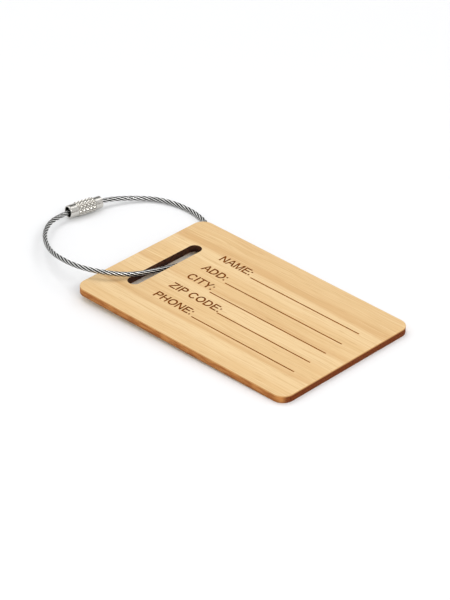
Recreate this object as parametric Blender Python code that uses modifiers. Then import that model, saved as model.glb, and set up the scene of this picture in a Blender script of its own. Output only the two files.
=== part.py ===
"""Luggage tag: an engraved bamboo card on a steel wire rope loop with a screw barrel.

The card lies on a flat surface. Its slot end is lifted by the wire that passes
under it, so the card leans on its far end. +X runs from the slot end to the far
end, +Y across the card, +Z up. The origin is under the middle of the card, on
the surface. Lengths are in metres.
"""

import math

import bmesh
import bpy
import numpy as np
from mathutils import Matrix, Vector

MM = 0.001

# Card
CARD_LENGTH = 85.0 * MM
CARD_WIDTH = 55.0 * MM
CARD_THICKNESS = 2.4 * MM
CARD_CORNER_RADIUS = 3.8 * MM
CARD_TILT = math.radians(1.4)
CORNER_STEPS = 8

# Slot for the wire, across the card near one end
SLOT_WIDTH = 4.2 * MM
SLOT_LENGTH = 30.0 * MM
SLOT_FROM_END = 10.7 * MM

# Engraving: five field labels, each with a writing line
ENGRAVE_DEPTH = 0.25 * MM
CAP_HEIGHT = 2.95 * MM
STROKE_WEIGHT = 0.055 * MM
ROUND_STEPS = 12
TEXT_START = 19.9 * MM
LINE_WIDTH = 0.36 * MM
LINE_END = 77.5 * MM
# label, height of its foot across the card, start of its line, height of its line
FIELDS = (
    ("NAME:", 41.0 * MM, 34.0 * MM, 40.4 * MM),
    ("ADD:", 33.5 * MM, 30.7 * MM, 32.8 * MM),
    ("CITY:", 26.9 * MM, 31.0 * MM, 25.9 * MM),
    ("ZIP CODE:", 19.6 * MM, 40.5 * MM, 19.2 * MM),
    ("PHONE:", 12.7 * MM, 36.6 * MM, 12.4 * MM),
)

# Wire rope
WIRE_RADIUS = 0.75 * MM
WIRE_POINTS = 66

# Screw barrel: two plain ends and a knurled middle, open at the mouth
BARREL_MOUTH = Vector((-78.14, 3.75, 2.55)) * MM
BARREL_AXIS = Vector((2.16, 11.3, -0.2)).normalized()
BARREL_LENGTH = 12.0 * MM
MOUTH_END_RADIUS = 2.07 * MM
HOLE_END_RADIUS = 1.95 * MM
KNURL_RADIUS = 2.35 * MM
KNURL_DEPTH = 0.25 * MM
KNURL_START = 2.8 * MM
KNURL_END = 9.4 * MM
KNURL_ROWS = 10
KNURL_TEETH = 14
EDGE_CHAMFER = 0.2 * MM
BORE_RADIUS = 1.6 * MM
HOLE_RADIUS = 1.1 * MM
END_WALL = 1.2 * MM

# Ferrules crimped on the wire's two ends, inside the barrel
FERRULE_RADIUS = 1.4 * MM
FERRULE_BORE = 0.95 * MM
THREAD_START = 2.2 * MM
THREAD_LENGTH = 3.5 * MM
THREAD_PITCH = 0.5 * MM
THREAD_DEPTH = 0.15 * MM
STOP_START = 7.9 * MM
STOP_LENGTH = 2.6 * MM

TURNED_STEPS = 28

# Where the wire runs between its two ends, in millimetres
LOOP_ROUTE = (
    (-78.05, 0.8, 2.5),
    (-77.05, -4.4, 2.82),
    (-73.35, -10.35, 3.4),
    (-67.4, -15.7, 4.2),
    (-60.5, -19.6, 5.2),
    (-52.9, -21.7, 6.3),
    (-45.5, -21.6, 6.8),
    (-38.7, -18.6, 6.6),
    (-34.1, -13.4, 5.6),
    (-31.7, -7.0, 4.6),
    (-31.2, -1.1, 3.4),
    (-31.4, 5.0, 1.8),
    (-31.7, 10.5, 0.95),
    (-32.7, 16.4, 0.78),
    (-35.9, 23.7, 0.78),
    (-41.6, 29.2, 0.78),
    (-49.0, 32.3, 0.78),
    (-56.9, 33.0, 0.8),
    (-64.6, 31.2, 0.9),
    (-70.1, 26.9, 1.2),
    (-73.9, 21.3, 1.85),
)


def clear_scene():
    for obj in list(bpy.data.objects):
        bpy.data.objects.remove(obj)


def new_collection(name):
    collection = bpy.data.collections.new(name)
    bpy.context.scene.collection.children.link(collection)
    return collection


def make_material(name, colour, roughness, metallic):
    material = bpy.data.materials.new(name)
    material.use_nodes = True
    shader = material.node_tree.nodes["Principled BSDF"]
    shader.inputs["Base Color"].default_value = (*colour, 1.0)
    shader.inputs["Roughness"].default_value = roughness
    shader.inputs["Metallic"].default_value = metallic
    return material


def mesh_from(obj):
    """The object's evaluated mesh, with its caps welded."""
    bpy.context.view_layer.update()
    evaluated = obj.evaluated_get(bpy.context.evaluated_depsgraph_get())
    mesh = bpy.data.meshes.new_from_object(evaluated)
    shape = bmesh.new()
    shape.from_mesh(mesh)
    bmesh.ops.remove_doubles(shape, verts=shape.verts, dist=0.001 * MM)
    shape.to_mesh(mesh)
    shape.free()
    return mesh


def as_mesh_object(source, name):
    """Swap a curve or text object for a mesh object of the same shape and place."""
    mesh = mesh_from(source)
    obj = bpy.data.objects.new(name, mesh)
    obj.matrix_world = source.matrix_world
    for collection in source.users_collection:
        collection.objects.link(obj)
    bpy.data.objects.remove(source)
    return obj


def add_outline(curve, points):
    spline = curve.splines.new("POLY")
    spline.points.add(len(points) - 1)
    for point, (x, y) in zip(spline.points, points):
        point.co = (x, y, 0.0, 1.0)
    spline.use_cyclic_u = True


def rounded_rectangle(x0, y0, x1, y1, radius, steps):
    corners = (
        (x1 - radius, y1 - radius, 0.0),
        (x0 + radius, y1 - radius, 0.5 * math.pi),
        (x0 + radius, y0 + radius, math.pi),
        (x1 - radius, y0 + radius, 1.5 * math.pi),
    )
    points = []
    for cx, cy, start in corners:
        for i in range(steps + 1):
            angle = start + 0.5 * math.pi * i / steps
            points.append((cx + radius * math.cos(angle), cy + radius * math.sin(angle)))
    return points


def slot_outline():
    """A long hole with round ends, running across the card."""
    radius = 0.5 * SLOT_WIDTH
    reach = 0.5 * SLOT_LENGTH - radius
    points = []
    for cy, start in ((0.5 * CARD_WIDTH + reach, 0.0), (0.5 * CARD_WIDTH - reach, math.pi)):
        for i in range(13):
            angle = start + math.pi * i / 12
            points.append((SLOT_FROM_END + radius * math.cos(angle), cy + radius * math.sin(angle)))
    return points


def flat_plate(name, outlines, thickness, collection):
    curve = bpy.data.curves.new(name, "CURVE")
    curve.dimensions = "2D"
    curve.fill_mode = "BOTH"
    curve.extrude = 0.5 * thickness
    curve.render_resolution_u = 0
    for outline in outlines:
        add_outline(curve, outline)
    obj = bpy.data.objects.new(name + "_outline", curve)
    collection.objects.link(obj)
    obj.location.z = 0.5 * thickness
    return as_mesh_object(obj, name)


CAPITAL = 716
STEM = 98
BAR = 88


def bow(cx, cy, rx, ry, start, end, steps):
    """Points on an ellipse from one angle to another, in degrees."""
    return [
        (cx + rx * math.cos(math.radians(a)), cy + ry * math.sin(math.radians(a)))
        for a in np.linspace(start, end, steps + 1)
    ]


def block(x0, y0, x1, y1):
    return [(x0, y0), (x1, y0), (x1, y1), (x0, y1)]


def plain_letters():
    """Outlines of the capitals used, 716 units high, each with the step to the next letter."""
    h, s, b = CAPITAL, STEM, BAR
    mid = 0.5 * h
    return {
        "A": (667, [
            [(0, 0), (103, 0), (180, 214), (488, 214), (569, 0), (672, 0), (386, h), (284, h)],
            [(208, 294), (460, 294), (334, 626)],
        ]),
        "C": (722, [
            bow(380, mid, 330, 370, 37, 323, ROUND_STEPS)
            + bow(380, mid, 330 - s, 370 - b, 323, 37, ROUND_STEPS),
        ]),
        "D": (722, [
            [(77, 0)] + bow(330, mid, 341, mid, -90, 90, ROUND_STEPS) + [(77, h)],
            [(77 + s, b)] + bow(322, mid, 349 - s, mid - b, -90, 90, ROUND_STEPS) + [(77 + s, h - b)],
        ]),
        "E": (667, [
            [(79, 0), (618, 0), (618, b), (79 + s, b), (79 + s, 328), (576, 328), (576, 328 + b),
             (79 + s, 328 + b), (79 + s, h - b), (600, h - b), (600, h), (79, h)],
        ]),
        "H": (722, [
            [(80, 0), (80 + s, 0), (80 + s, 328), (642 - s, 328), (642 - s, 0), (642, 0), (642, h),
             (642 - s, h), (642 - s, 328 + b), (80 + s, 328 + b), (80 + s, h), (80, h)],
        ]),
        "I": (278, [block(92, 0, 92 + s, h)]),
        "M": (833, [
            [(74, 0), (167, 0), (167, 590), (371, 0), (463, 0), (668, 590), (668, 0), (761, 0),
             (761, h), (629, h), (417, 122), (206, h), (74, h)],
        ]),
        "N": (722, [
            [(76, 0), (171, 0), (171, 560), (541, 0), (643, 0), (643, h), (548, h), (548, 156),
             (178, h), (76, h)],
        ]),
        "O": (778, [
            bow(389, mid, 342, 370, 0, 345, 23),
            bow(389, mid, 342 - s, 370 - b, 0, 345, 23),
        ]),
        "P": (667, [
            [(77, 0), (77 + s, 0), (77 + s, 288)] + bow(398, 502, 229, 214, -90, 90, ROUND_STEPS) + [(77, h)],
            [(77 + s, 288 + b)] + bow(390, 502, 236 - s, 214 - b, -90, 90, ROUND_STEPS) + [(77 + s, h - b)],
        ]),
        "T": (650, [
            [(258, 0), (258 + s, 0), (258 + s, h - b), (592, h - b), (592, h), (22, h), (22, h - b),
             (258, h - b)],
        ]),
        "Y": (667, [
            [(281, 0), (281 + s, 0), (281 + s, 303), (640, h), (526, h), (332, 396), (136, h), (20, h),
             (281, 303)],
        ]),
        "Z": (611, [
            [(22, 0), (588, 0), (588, b), (142, b), (578, h - 90), (578, h), (52, h), (52, h - b),
             (452, h - b), (22, 92)],
        ]),
        ":": (278, [block(88, 0, 88 + s, 102), block(88, 417, 88 + s, 519)]),
        " ": (278, []),
    }


def is_hole(outline, first):
    """Whether an outline lies inside its letter's first outline."""
    x, y = outline[0]
    return outline is not first and (
        min(p[0] for p in first) < x < max(p[0] for p in first)
        and min(p[1] for p in first) < y < max(p[1] for p in first)
    )


def spread(outline, by, hole):
    """The outline moved outwards by a distance, or inwards where it is a hole."""
    area = sum(
        a[0] * b[1] - b[0] * a[1] for a, b in zip(outline, outline[1:] + outline[:1])
    )
    points = outline if (area > 0.0) != hole else outline[::-1]
    moved = []
    for before, here, after in zip(points[-1:] + points[:-1], points, points[1:] + points[:1]):
        first = Vector((here[1] - before[1], before[0] - here[0])).normalized()
        second = Vector((after[1] - here[1], here[0] - after[0])).normalized()
        corner = (first + second).normalized()
        reach = by / max(0.8, corner.dot(first))
        moved.append((here[0] + corner.x * reach, here[1] + corner.y * reach))
    return moved


def label_outlines(label, foot, weight):
    """The label's outlines on the card, with strokes made wider by weight on each side."""
    letters = plain_letters()
    unit = CAP_HEIGHT / CAPITAL
    outlines = []
    pen = 0.0
    for letter in label:
        step, shapes = letters[letter]
        for shape in shapes:
            wide = spread(shape, weight / unit, is_hole(shape, shapes[0]))
            outlines.append([(TEXT_START + (pen + x) * unit, foot + y * unit) for x, y in wide])
        pen += step
    return outlines


def engraving_cutter(collection):
    """The labels and writing lines as one cutter, standing through the card's top face."""
    shape = bmesh.new()
    for label, foot, line_start, line_height in FIELDS:
        curve = bpy.data.curves.new("label", "CURVE")
        curve.dimensions = "2D"
        curve.fill_mode = "BOTH"
        curve.extrude = ENGRAVE_DEPTH
        curve.render_resolution_u = 0
        for outline in label_outlines(label, foot, STROKE_WEIGHT):
            add_outline(curve, outline)
        obj = bpy.data.objects.new("label", curve)
        collection.objects.link(obj)
        obj.location.z = CARD_THICKNESS
        mesh_obj = as_mesh_object(obj, "label_mesh")
        mesh_obj.data.transform(mesh_obj.matrix_world)
        shape.from_mesh(mesh_obj.data)
        bpy.data.objects.remove(mesh_obj)
        length = LINE_END - line_start
        middle = Vector((line_start + 0.5 * length, line_height, CARD_THICKNESS))
        size = Matrix.Diagonal((length, LINE_WIDTH, 2.0 * ENGRAVE_DEPTH, 1.0))
        bmesh.ops.create_cube(shape, size=1.0, matrix=Matrix.Translation(middle) @ size)
    bmesh.ops.dissolve_limit(
        shape, angle_limit=math.radians(0.5), verts=shape.verts, edges=shape.edges
    )
    # Two microns of wander, so that no three corners of a letter lie exactly in line
    wander = np.random.default_rng(1).uniform(-0.002 * MM, 0.002 * MM, (len(shape.verts), 2))
    for vert, (dx, dy) in zip(shape.verts, wander):
        vert.co.x += dx
        vert.co.y += dy
    mesh = bpy.data.meshes.new("engraving_cutter")
    shape.to_mesh(mesh)
    shape.free()
    cutter = bpy.data.objects.new("engraving_cutter", mesh)
    cutter.hide_render = True
    cutter.display_type = "WIRE"
    collection.objects.link(cutter)
    return cutter


def smooth_route(knots, count):
    """Evenly spaced points on the natural cubic curve through the knots."""
    knots = np.array(knots, dtype=float)
    spans = np.sqrt(np.linalg.norm(np.diff(knots, axis=0), axis=1))
    t = np.concatenate(([0.0], np.cumsum(spans)))
    n = len(knots)
    system = np.eye(n)
    right = np.zeros((n, 3))
    for i in range(1, n - 1):
        before, after = spans[i - 1], spans[i]
        system[i, i - 1 : i + 2] = (before, 2.0 * (before + after), after)
        right[i] = 6.0 * (
            (knots[i + 1] - knots[i]) / after - (knots[i] - knots[i - 1]) / before
        )
    bend = np.linalg.solve(system, right)
    fine = np.linspace(0.0, t[-1], 40 * n)
    index = np.clip(np.searchsorted(t, fine, side="right") - 1, 0, n - 2)
    h = spans[index][:, None]
    a = (t[index + 1] - fine)[:, None]
    b = (fine - t[index])[:, None]
    points = (
        (bend[index] * a**3 + bend[index + 1] * b**3) / (6.0 * h)
        + (knots[index] / h - bend[index] * h / 6.0) * a
        + (knots[index + 1] / h - bend[index + 1] * h / 6.0) * b
    )
    travelled = np.concatenate(([0.0], np.cumsum(np.linalg.norm(np.diff(points, axis=0), axis=1))))
    even = np.linspace(0.0, travelled[-1], count)
    return np.stack([np.interp(even, travelled, points[:, k]) for k in range(3)], axis=1)


def on_barrel_axis(distance):
    return BARREL_MOUTH + BARREL_AXIS * distance


def wire_knots():
    start = [on_barrel_axis(d) for d in (THREAD_START + THREAD_LENGTH, 2.8 * MM)]
    route = [Vector(p) * MM for p in LOOP_ROUTE]
    end = [on_barrel_axis(d) for d in (BARREL_LENGTH + 1.2 * MM, STOP_START)]
    return start + route + end


def make_wire(collection):
    curve = bpy.data.curves.new("wire_loop", "CURVE")
    curve.dimensions = "3D"
    curve.bevel_depth = WIRE_RADIUS
    curve.bevel_resolution = 2
    curve.use_fill_caps = True
    curve.render_resolution_u = 0
    points = smooth_route(wire_knots(), WIRE_POINTS)
    spline = curve.splines.new("POLY")
    spline.points.add(len(points) - 1)
    for point, co in zip(spline.points, points):
        point.co = (*co, 1.0)
    spline.use_smooth = True
    obj = bpy.data.objects.new("wire_loop", curve)
    collection.objects.link(obj)
    return obj


def turned(name, profile, collection, parent):
    """Turn a closed profile of (radius, height) points about the parent's Z axis."""
    mesh = bpy.data.meshes.new(name)
    shape = bmesh.new()
    verts = [shape.verts.new((r, 0.0, z)) for r, z in profile]
    for a, b in zip(verts, verts[1:] + verts[:1]):
        shape.edges.new((a, b))
    shape.to_mesh(mesh)
    shape.free()
    obj = bpy.data.objects.new(name, mesh)
    collection.objects.link(obj)
    screw = obj.modifiers.new("turn", "SCREW")
    screw.axis = "Z"
    screw.steps = TURNED_STEPS
    screw.render_steps = TURNED_STEPS
    screw.use_merge_vertices = True
    screw.merge_threshold = 0.001 * MM
    screw.use_smooth_shade = True
    obj.parent = parent
    return obj


def barrel_profile():
    """Outside from the hole end down to the mouth, then up the bore to the end wall."""
    c = EDGE_CHAMFER
    outside = [
        (HOLE_END_RADIUS - c, BARREL_LENGTH),
        (HOLE_END_RADIUS, BARREL_LENGTH - c),
        (HOLE_END_RADIUS, KNURL_END + c),
    ]
    span = KNURL_END - KNURL_START
    for row in range(KNURL_ROWS + 1):
        outside.append((KNURL_RADIUS, KNURL_END - span * row / KNURL_ROWS))
    outside += [
        (MOUTH_END_RADIUS, KNURL_START - c),
        (MOUTH_END_RADIUS, 0.5 * c),
        (MOUTH_END_RADIUS - 0.5 * c, 0.0),
    ]
    inside = [
        (BORE_RADIUS, 0.0),
        (BORE_RADIUS, BARREL_LENGTH - END_WALL),
        (HOLE_RADIUS, BARREL_LENGTH - END_WALL),
        (HOLE_RADIUS, BARREL_LENGTH),
    ]
    return outside + inside


def cut_knurl(obj):
    """Press every other point of the middle band inwards, which leaves a diamond knurl."""
    mesh = mesh_from(obj)
    obj.modifiers.clear()
    obj.data = mesh
    span = KNURL_END - KNURL_START
    for vert in mesh.vertices:
        radius = math.hypot(vert.co.x, vert.co.y)
        if abs(radius - KNURL_RADIUS) > 0.01 * MM:
            continue
        row = round((KNURL_END - vert.co.z) / span * KNURL_ROWS)
        column = round(math.atan2(vert.co.y, vert.co.x) / (math.pi / KNURL_TEETH))
        if (row + column) % 2:
            factor = (KNURL_RADIUS - KNURL_DEPTH) / KNURL_RADIUS
            vert.co.x *= factor
            vert.co.y *= factor


def threaded_profile():
    """A sleeve whose outside carries one ridge for each turn of thread."""
    top = THREAD_START + THREAD_LENGTH
    root = FERRULE_RADIUS - THREAD_DEPTH
    outside = [(root, top)]
    turns = round(THREAD_LENGTH / THREAD_PITCH)
    for i in range(turns):
        crest = top - (i + 0.5) * THREAD_PITCH
        outside += [(FERRULE_RADIUS, crest), (root, crest - 0.5 * THREAD_PITCH)]
    return outside + [(FERRULE_BORE, THREAD_START), (FERRULE_BORE, top)]


def stop_profile():
    """A plain crimped collar with eased rims."""
    low, high = STOP_START, STOP_START + STOP_LENGTH
    c = EDGE_CHAMFER
    return [
        (FERRULE_RADIUS - c, high),
        (FERRULE_RADIUS, high - c),
        (FERRULE_RADIUS, low + c),
        (FERRULE_RADIUS - c, low),
        (FERRULE_BORE, low),
        (FERRULE_BORE, high),
    ]


def main():
    clear_scene()
    parts = new_collection("luggage_tag")
    cutters = new_collection("cutters")

    bamboo = make_material("bamboo", (0.80, 0.58, 0.31), 0.55, 0.0)
    steel_rope = make_material("steel_rope", (0.50, 0.50, 0.48), 0.32, 1.0)
    bright_steel = make_material("bright_steel", (0.78, 0.77, 0.75), 0.2, 1.0)
    dull_steel = make_material("dull_steel", (0.55, 0.54, 0.52), 0.35, 1.0)
    brass = make_material("brass", (0.72, 0.55, 0.28), 0.35, 1.0)

    # The card's frame: its bottom far edge lies on the surface, its slot end is lifted
    card_frame = bpy.data.objects.new("card_frame", None)
    parts.objects.link(card_frame)
    reach = CARD_LENGTH * math.cos(CARD_TILT) - CARD_THICKNESS * math.sin(CARD_TILT)
    card_frame.location = (0.5 * reach, 0.0, 0.0)
    card_frame.rotation_euler = (0.0, CARD_TILT, 0.0)
    card_origin = Matrix.Translation((-CARD_LENGTH, -0.5 * CARD_WIDTH, 0.0))

    outline = rounded_rectangle(
        0.0, 0.0, CARD_LENGTH, CARD_WIDTH, CARD_CORNER_RADIUS, CORNER_STEPS
    )
    card = flat_plate("bamboo_card", (outline, slot_outline()), CARD_THICKNESS, parts)
    cutter = engraving_cutter(cutters)
    for obj in (card, cutter):
        obj.data.transform(card_origin @ obj.matrix_world)
        obj.matrix_world = Matrix.Identity(4)
        obj.parent = card_frame
    engrave = card.modifiers.new("engrave", "BOOLEAN")
    engrave.operation = "DIFFERENCE"
    engrave.object = cutter
    card.data.materials.append(bamboo)

    wire = make_wire(parts)
    wire.data.materials.append(steel_rope)

    # The barrel's frame: its Z axis is the joint's axis, from the mouth to the hole end
    barrel_frame = bpy.data.objects.new("barrel_frame", None)
    parts.objects.link(barrel_frame)
    barrel_frame.location = BARREL_MOUTH
    barrel_frame.rotation_euler = BARREL_AXIS.to_track_quat("Z", "Y").to_euler()

    barrel = turned("screw_barrel", barrel_profile(), parts, barrel_frame)
    bpy.context.view_layer.update()
    cut_knurl(barrel)
    barrel.data.materials.append(bright_steel)
    threaded = turned("threaded_ferrule", threaded_profile(), parts, barrel_frame)
    threaded.data.materials.append(brass)
    stop = turned("stop_ferrule", stop_profile(), parts, barrel_frame)
    stop.data.materials.append(dull_steel)


main()
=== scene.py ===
import math

import bmesh
import bpy
import numpy as np
from mathutils import Matrix, Vector


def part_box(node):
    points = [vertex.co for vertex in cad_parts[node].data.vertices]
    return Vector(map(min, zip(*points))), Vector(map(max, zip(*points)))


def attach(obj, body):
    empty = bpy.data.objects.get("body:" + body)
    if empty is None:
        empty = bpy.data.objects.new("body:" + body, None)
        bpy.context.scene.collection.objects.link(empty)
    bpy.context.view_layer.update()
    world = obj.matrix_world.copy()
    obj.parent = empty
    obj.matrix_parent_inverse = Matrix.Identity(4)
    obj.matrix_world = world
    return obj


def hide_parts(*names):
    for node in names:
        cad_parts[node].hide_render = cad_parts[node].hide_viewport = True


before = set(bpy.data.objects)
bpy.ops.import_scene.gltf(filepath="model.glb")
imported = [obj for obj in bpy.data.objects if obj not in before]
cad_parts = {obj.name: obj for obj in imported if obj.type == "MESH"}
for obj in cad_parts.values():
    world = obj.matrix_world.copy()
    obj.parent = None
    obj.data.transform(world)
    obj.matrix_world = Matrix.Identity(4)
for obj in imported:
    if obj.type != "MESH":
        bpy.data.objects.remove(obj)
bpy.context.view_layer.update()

MM = 0.001
TURN = 2.0 * math.pi
QUARTER = 0.5 * math.pi

# ---------------------------------------------------------------- sizes, as in part.py
CARD_LENGTH = 85.0 * MM
CARD_WIDTH = 55.0 * MM
CARD_THICKNESS = 2.4 * MM
CARD_CORNER_RADIUS = 3.8 * MM
CARD_TILT = math.radians(1.4)
SLOT_WIDTH = 4.2 * MM
SLOT_LENGTH = 30.0 * MM
SLOT_FROM_END = 10.7 * MM
ENGRAVE_DEPTH = 0.25 * MM
CAP_HEIGHT = 2.95 * MM
STROKE_WEIGHT = 0.055 * MM
SCORCH_DEPTH = 0.015 * MM
SCORCH_REACH = 0.07 * MM
TEXT_HALF_SPAN = 18.5 * MM
TEXT_START = 19.9 * MM
LINE_WIDTH = 0.36 * MM
LINE_END = 77.5 * MM
# label, height of its foot across the card, start of its line, height of its line
FIELDS = (
    ("NAME:", 41.0 * MM, 34.0 * MM, 40.4 * MM),
    ("ADD:", 33.5 * MM, 30.7 * MM, 32.8 * MM),
    ("CITY:", 26.9 * MM, 31.0 * MM, 25.9 * MM),
    ("ZIP CODE:", 19.6 * MM, 40.5 * MM, 19.2 * MM),
    ("PHONE:", 12.7 * MM, 36.6 * MM, 12.4 * MM),
)
EDGE_ROUND = 0.16 * MM
EDGE_STEPS = 3
CORNER_STEPS = 14
SLOT_END_STEPS = 24
# Too small to see: keeps the engraving's corners off the plate's own vertices
WANDER = 0.002 * MM
WANDER_SEEDS = range(1, 9)
SECOND_CUT_SEED = 20

WIRE_DIAMETER = 1.5 * MM
STRANDS = 6
STRAND_RADIUS = 0.24 * MM
HELIX_RADIUS = 0.51 * MM
ROPE_LAY = 12.3 * MM
FINE_WIRES = 6
FINE_LAY = 0.62 * MM
ROPE_STEPS = 481
STRAND_RING = 14
CORE_STRIDE = 3

BARREL_MOUTH = Vector((-78.14, 3.75, 2.55)) * MM
BARREL_AXIS = Vector((2.16, 11.3, -0.2)).normalized()
BARREL_LENGTH = 12.0 * MM
MOUTH_END_RADIUS = 2.07 * MM
HOLE_END_RADIUS = 1.95 * MM
KNURL_RADIUS = 2.35 * MM
KNURL_DEPTH = 0.25 * MM
KNURL_START = 2.8 * MM
KNURL_END = 9.4 * MM
KNURL_PITCH = 1.32 * MM
KNURL_TEETH = 14
KNURL_FADE = 0.25 * MM
KNURL_CREST = 1.25
KNURL_RINGS = 97
COLUMNS_PER_TOOTH = 16
RIM_ROUND = 0.16 * MM
BORE_RADIUS = 1.6 * MM
HOLE_RADIUS = 1.1 * MM
END_WALL = 1.2 * MM
BORE_RIDGE = 0.07 * MM
BORE_RIDGE_RINGS = 72
FERRULE_RADIUS = 1.4 * MM
FERRULE_BORE = 0.95 * MM
THREAD_START = 2.2 * MM
THREAD_LENGTH = 3.5 * MM
THREAD_PITCH = 0.5 * MM
THREAD_DEPTH = 0.15 * MM
THREAD_FADE = 0.3 * MM
THREAD_CHAMFER = 0.1 * MM
THREAD_RINGS = 64
THREAD_COLUMNS = 72
STOP_START = 7.9 * MM
STOP_LENGTH = 2.6 * MM
STOP_ROUND = 0.18 * MM
STOP_RINGS = 24
STOP_COLUMNS = 64
CRIMP_DENTS = 4
CRIMP_DEPTH = 0.12 * MM
CRIMP_SPREAD = 0.55 * MM
# The wire is straight this far inside the mouth and beyond the hole
STRAIGHT_IN_MOUTH = 2.8 * MM
STRAIGHT_PAST_HOLE = 1.2 * MM

# Where the wire runs between its two ends, in millimetres
LOOP_ROUTE = (
    (-78.05, 0.8, 2.5),
    (-77.05, -4.4, 2.82),
    (-73.35, -10.35, 3.4),
    (-67.4, -15.7, 4.2),
    (-60.5, -19.6, 5.2),
    (-52.9, -21.7, 6.3),
    (-45.5, -21.6, 6.8),
    (-38.7, -18.6, 6.6),
    (-34.1, -13.4, 5.6),
    (-31.7, -7.0, 4.6),
    (-31.2, -1.1, 3.4),
    (-31.4, 5.0, 1.8),
    (-31.7, 10.5, 0.95),
    (-32.7, 16.4, 0.78),
    (-35.9, 23.7, 0.78),
    (-41.6, 29.2, 0.78),
    (-49.0, 32.3, 0.78),
    (-56.9, 33.0, 0.8),
    (-64.6, 31.2, 0.9),
    (-70.1, 26.9, 1.2),
    (-73.9, 21.3, 1.85),
)

# ---------------------------------------------------------------- camera and light settings
SENSOR_WIDTH = 36.0
LENS = 175.35
CLIP_START = 0.01
CLIP_END = 50.0
CAMERA_PLACE = Vector((505.7, -534.6, 455.1)) * MM
CAMERA_LOOK = Vector((-0.590305, 0.615907, -0.521727))

FLOOR_HALF_SIDE = 3.0
FLOOR_DROP = 0.03 * MM
FLOOR_WHITES = ((0.877, 0.88, 0.883), (0.89, 0.893, 0.896))
DOME_LEVEL = 0.74
DOME_COLOUR = (1.0, 1.0, 1.005, 1.0)
# direction, cosine at its edge, cosine where it is full, strength there
DARK_FLAG = ((-0.50, 0.62, 0.61), 0.955, 0.985, 0.04)
BRIGHT_STRIP = ((0.18, 0.62, 0.77), 0.965, 0.988, 2.4)
LIGHT_DISTANCE = 1.2
# name, direction it comes from, size in metres, watts
LIGHTS = (
    ("overhead", (-0.42, 0.10, 0.90), (0.85, 0.7), 3.2),
    ("side", (0.68, -0.26, 0.64), (1.0, 0.3), 5.2),
)


# ---------------------------------------------------------------- small helpers
def link(obj):
    bpy.context.scene.collection.objects.link(obj)
    return obj


def mesh_object(name, verts, faces, smooth_angle=35.0):
    mesh = bpy.data.meshes.new(name)
    mesh.from_pydata([tuple(v) for v in verts], [], [tuple(f) for f in faces])
    mesh.validate()
    finish_shading(mesh, smooth_angle)
    return link(bpy.data.objects.new(name, mesh))


def finish_shading(mesh, smooth_angle):
    mesh.polygons.foreach_set("use_smooth", [True] * len(mesh.polygons))
    mesh.set_sharp_from_angle(angle=math.radians(smooth_angle))
    mesh.update()


class Graph:
    """Builds one material's nodes."""

    def __init__(self, name):
        self.material = bpy.data.materials.new(name)
        self.material.use_nodes = True
        self.tree = self.material.node_tree
        self.shader = self.tree.nodes["Principled BSDF"]

    def add(self, kind, **settings):
        node = self.tree.nodes.new("ShaderNode" + kind)
        for key, value in settings.items():
            setattr(node, key, value)
        return node

    def put(self, value, socket):
        if isinstance(value, bpy.types.NodeSocket):
            self.tree.links.new(value, socket)
        else:
            socket.default_value = value

    def set(self, **values):
        for key, value in values.items():
            self.put(value, self.shader.inputs[key.replace("_", " ")])

    def dull(self, level):
        self.shader.inputs["Specular IOR Level"].default_value = level

    def place(self, scale=(1.0, 1.0, 1.0)):
        """The piece's own coordinates in millimetres, times scale."""
        coordinates = self.add("TexCoord")
        mapping = self.add("Mapping")
        mapping.inputs["Scale"].default_value = [s / MM for s in scale]
        self.put(coordinates.outputs["Object"], mapping.inputs["Vector"])
        return mapping.outputs["Vector"]

    def stretch(self, combined, scale):
        """Millimetres from a CombineXYZ node, times scale."""
        mapping = self.add("Mapping")
        mapping.inputs["Scale"].default_value = scale
        self.put(combined.outputs[0], mapping.inputs["Vector"])
        return mapping.outputs["Vector"]

    def split(self, vector):
        node = self.add("SeparateXYZ")
        self.put(vector, node.inputs[0])
        return node.outputs

    def noise(self, vector, detail=2.0, roughness=0.5):
        node = self.add("TexNoise")
        self.put(vector, node.inputs["Vector"])
        node.inputs["Scale"].default_value = 1.0
        node.inputs["Detail"].default_value = detail
        node.inputs["Roughness"].default_value = roughness
        return node.outputs["Fac"]

    def math(self, operation, a, b=0.0):
        node = self.add("Math", operation=operation)
        self.put(a, node.inputs[0])
        self.put(b, node.inputs[1])
        return node.outputs[0]

    def between(self, value, low, high, to_low=0.0, to_high=1.0):
        """A smooth step from to_low to to_high as the value goes from low to high."""
        node = self.add("MapRange", interpolation_type="SMOOTHSTEP")
        self.put(value, node.inputs["Value"])
        node.inputs["From Min"].default_value = low
        node.inputs["From Max"].default_value = high
        node.inputs["To Min"].default_value = to_low
        node.inputs["To Max"].default_value = to_high
        return node.outputs["Result"]

    def mix(self, factor, a, b):
        """From colour a to colour b; either may be a socket."""
        node = self.add("Mix", data_type="RGBA")
        self.put(factor, node.inputs["Factor"])
        colours = [s for s in node.inputs if s.type == "RGBA"]
        for value, socket in zip((a, b), colours):
            self.put(value if isinstance(value, bpy.types.NodeSocket) else (*value, 1.0), socket)
        return next(s for s in node.outputs if s.type == "RGBA")

    def ramp(self, value, stops):
        node = self.add("ValToRGB")
        node.color_ramp.interpolation = "LINEAR"
        elements = node.color_ramp.elements
        while len(elements) > 1:
            elements.remove(elements[-1])
        for i, (position, colour) in enumerate(stops):
            element = elements[0] if i == 0 else elements.new(position)
            element.position = position
            element.color = (*colour, 1.0)
        self.put(value, node.inputs["Fac"])
        return node.outputs["Color"]

    def bump(self, height, distance, strength=1.0):
        node = self.add("Bump")
        node.inputs["Strength"].default_value = strength
        node.inputs["Distance"].default_value = distance
        self.put(height, node.inputs["Height"])
        self.put(node.outputs["Normal"], self.shader.inputs["Normal"])


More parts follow.
